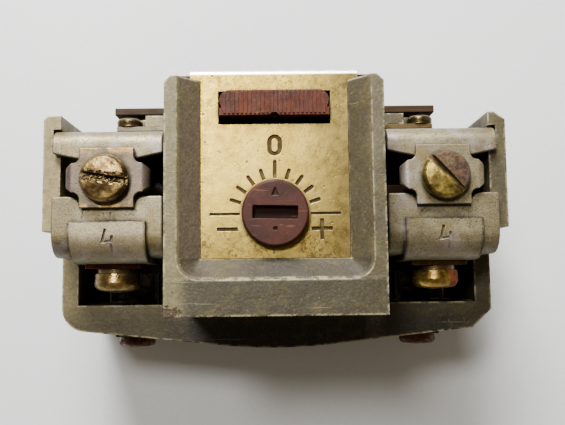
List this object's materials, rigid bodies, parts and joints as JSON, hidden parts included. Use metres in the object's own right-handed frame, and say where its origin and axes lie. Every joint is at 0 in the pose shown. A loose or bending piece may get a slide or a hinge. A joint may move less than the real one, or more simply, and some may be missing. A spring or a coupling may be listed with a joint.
{
  "type": "thermal overload relay",
  "caption": "Two-pole thermal overload relay: grey moulded case with a central tower, setting knob, reset button and a screw terminal and heater on each side.",
  "frame": {"origin": "centre of the bounding box's bottom, on the flat back face that the relay is mounted by", "axes": "+Z out of the front face, +X towards the right-hand pole, +Y towards the laminate cover and the wiring side"},
  "size_m": [0.08, 0.0461, 0.06],
  "materials": {
    "case_moulding": "weathered grey moulding, satin",
    "laminate": "brown paper laminate, satin",
    "front_steel": "nickel-plated steel, dull, speckled",
    "knob_moulding": "reddish-brown moulding, worn",
    "yellow_screws": "yellow-passivated steel, stained",
    "rusty_steel": "steel with a rust film",
    "tinned_strip": "tin-plated, dull and speckled",
    "brass_insert": "plain brass",
    "mechanism_steel": "zinc-plated",
    "spring_wire": "drawn spring wire",
    "bimetal_strip": "rolled bimetal, heat-tinted",
    "lever_moulding": "dark brown moulding",
    "mica_board": "mica board, slightly glossy"
  },
  "bodies": {
    "case": {"housing": "case_moulding", "cover_plate": "laminate", "cover_screws": "yellow_screws", "front_plate": "front_steel", "mounting_inserts": "brass_insert", "knob_washer": "mechanism_steel", "reset_springs": "spring_wire", "support_plate": "mechanism_steel", "latch_pin": "mechanism_steel", "trip_spring": "spring_wire", "fixed_contact_left": "brass_insert", "fixed_contact_right": "brass_insert", "contact_screw_left": "yellow_screws", "contact_screw_right": "yellow_screws", "line_terminal_left": "tinned_strip", "line_terminal_right": "tinned_strip", "line_nut_left": "yellow_screws", "line_nut_right": "yellow_screws", "saddle_left": "tinned_strip", "saddle_right": "tinned_strip", "line_screw_left": "yellow_screws", "line_screw_right": "yellow_screws", "heater_left": "tinned_strip", "heater_right": "tinned_strip", "heater_clamp_left": "rusty_steel", "heater_clamp_right": "rusty_steel", "lock_washer_left": "rusty_steel", "lock_washer_right": "rusty_steel", "heater_screw_left": "yellow_screws", "heater_screw_right": "yellow_screws", "insulator_left": "mica_board", "insulator_right": "mica_board", "bimetal_bracket_left": "mechanism_steel", "bimetal_bracket_right": "mechanism_steel", "load_terminal_left": "tinned_strip", "load_terminal_right": "tinned_strip", "load_screw_left": "rusty_steel", "load_screw_right": "rusty_steel", "link_screw_left": "yellow_screws", "link_screw_right": "yellow_screws"},
    "knob_body": {"setting_knob": "knob_moulding", "eccentric_shaft": "mechanism_steel", "knob_clip": "mechanism_steel"},
    "carriage_body": {"setting_carriage": "mechanism_steel", "carriage_rivets": "mechanism_steel", "compensator_pin": "mechanism_steel"},
    "compensator_body": {"compensator": "bimetal_strip"},
    "pusher_body": {"pusher": "laminate"},
    "bimetal_left_body": {"bimetal_left": "bimetal_strip"},
    "bimetal_right_body": {"bimetal_right": "bimetal_strip"},
    "latch_body": {"latch_lever": "lever_moulding"},
    "trip_body": {"trip_rod": "lever_moulding", "contact_bridge": "brass_insert", "contact_spring": "spring_wire"},
    "button_body": {"reset_button": "knob_moulding"}
  },
  "joints": [
    {"name": "knob_turn", "type": "hinge", "parent": "case", "child": "knob_body", "pos_m": [0, 0.0003, 0.0574], "axis": [0, 0, 1], "range_deg": [-91, 91]},
    {"name": "carriage_shift", "type": "slide", "parent": "case", "child": "carriage_body", "axis": [1, 0, 0], "range_m": [-0.001, 0.001]},
    {"name": "pusher_slide", "type": "slide", "parent": "case", "child": "pusher_body", "axis": [1, 0, 0], "range_m": [0, 0.002], "stiffness_N_per_m": 150, "springref_m": -0.0004},
    {"name": "bimetal_left_bend", "type": "hinge", "parent": "case", "child": "bimetal_left_body", "pos_m": [-0.025, 0.004, 0.008], "axis": [0, 1, 0], "range_deg": [0, 4.5]},
    {"name": "bimetal_right_bend", "type": "hinge", "parent": "case", "child": "bimetal_right_body", "pos_m": [0.025, 0.004, 0.008], "axis": [0, 1, 0], "range_deg": [0, 4.5]},
    {"name": "compensator_swing", "type": "hinge", "parent": "carriage_body", "child": "compensator_body", "pos_m": [-0.007, 0.004, 0.0454], "axis": [0, -1, 0], "range_deg": [0, 10.4]},
    {"name": "latch_swing", "type": "hinge", "parent": "case", "child": "latch_body", "pos_m": [0.0045, 0.0085, 0.0445], "axis": [0, -1, 0], "range_deg": [0, 10.4]},
    {"name": "trip_lift", "type": "slide", "parent": "case", "child": "trip_body", "axis": [0, 0, 1], "range_m": [0, 0.0027], "deforming": ["trip_spring"]},
    {"name": "button_press", "type": "slide", "parent": "case", "child": "button_body", "axis": [0, 0, 1], "range_m": [-0.0029, 0], "stiffness_N_per_m": 250, "springref_m": 0.003, "deforming": ["reset_springs"]}
  ],
  "couplings": [
    {"joint": "knob_turn", "follows": "carriage_shift", "rad_per_m": -1570.8},
    {"joint": "bimetal_left_bend", "follows": "pusher_slide", "rad_per_m": 38.168},
    {"joint": "bimetal_right_bend", "follows": "pusher_slide", "rad_per_m": 38.168},
    {"joint": "compensator_swing", "follows": "pusher_slide", "rad_per_m": 89.286},
    {"joint": "latch_swing", "follows": "pusher_slide", "rad_per_m": 88.496},
    {"joint": "trip_lift", "follows": "pusher_slide", "ratio": 1.35}
  ]
}
